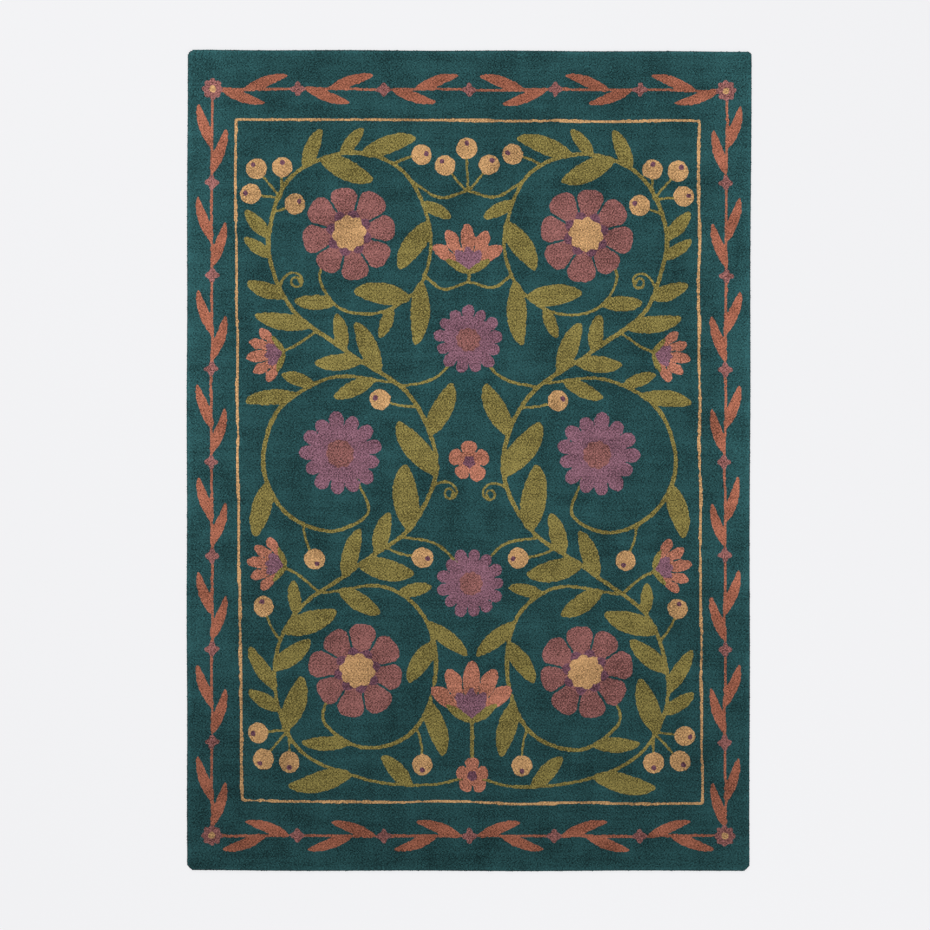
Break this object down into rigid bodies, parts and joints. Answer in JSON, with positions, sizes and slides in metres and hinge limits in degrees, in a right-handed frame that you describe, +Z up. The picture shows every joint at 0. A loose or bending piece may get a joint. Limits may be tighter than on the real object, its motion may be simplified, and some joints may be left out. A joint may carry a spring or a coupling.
{
  "type": "tufted wool rug",
  "caption": "Rectangular cut-pile wool rug lying flat, with rounded corners, a soft pile edge, a thin line border and a floral field.",
  "frame": {"origin": "middle of the footprint, on the underside", "axes": "+X across the rug to its right, +Y along the rug to its head end (the top of the picture), +Z up through the pile"},
  "size_m": [1.6, 2.327, 0.0125],
  "materials": {
    "teal_wool": "matte",
    "olive_wool": "matte",
    "terracotta_wool": "matte",
    "coral_wool": "matte",
    "mauve_wool": "matte",
    "purple_wool": "matte",
    "plum_wool": "matte",
    "gold_wool": "matte",
    "backing_cloth": "matte"
  },
  "bodies": {
    "root": {"rug": "teal_wool"}
  },
  "joints": []
}
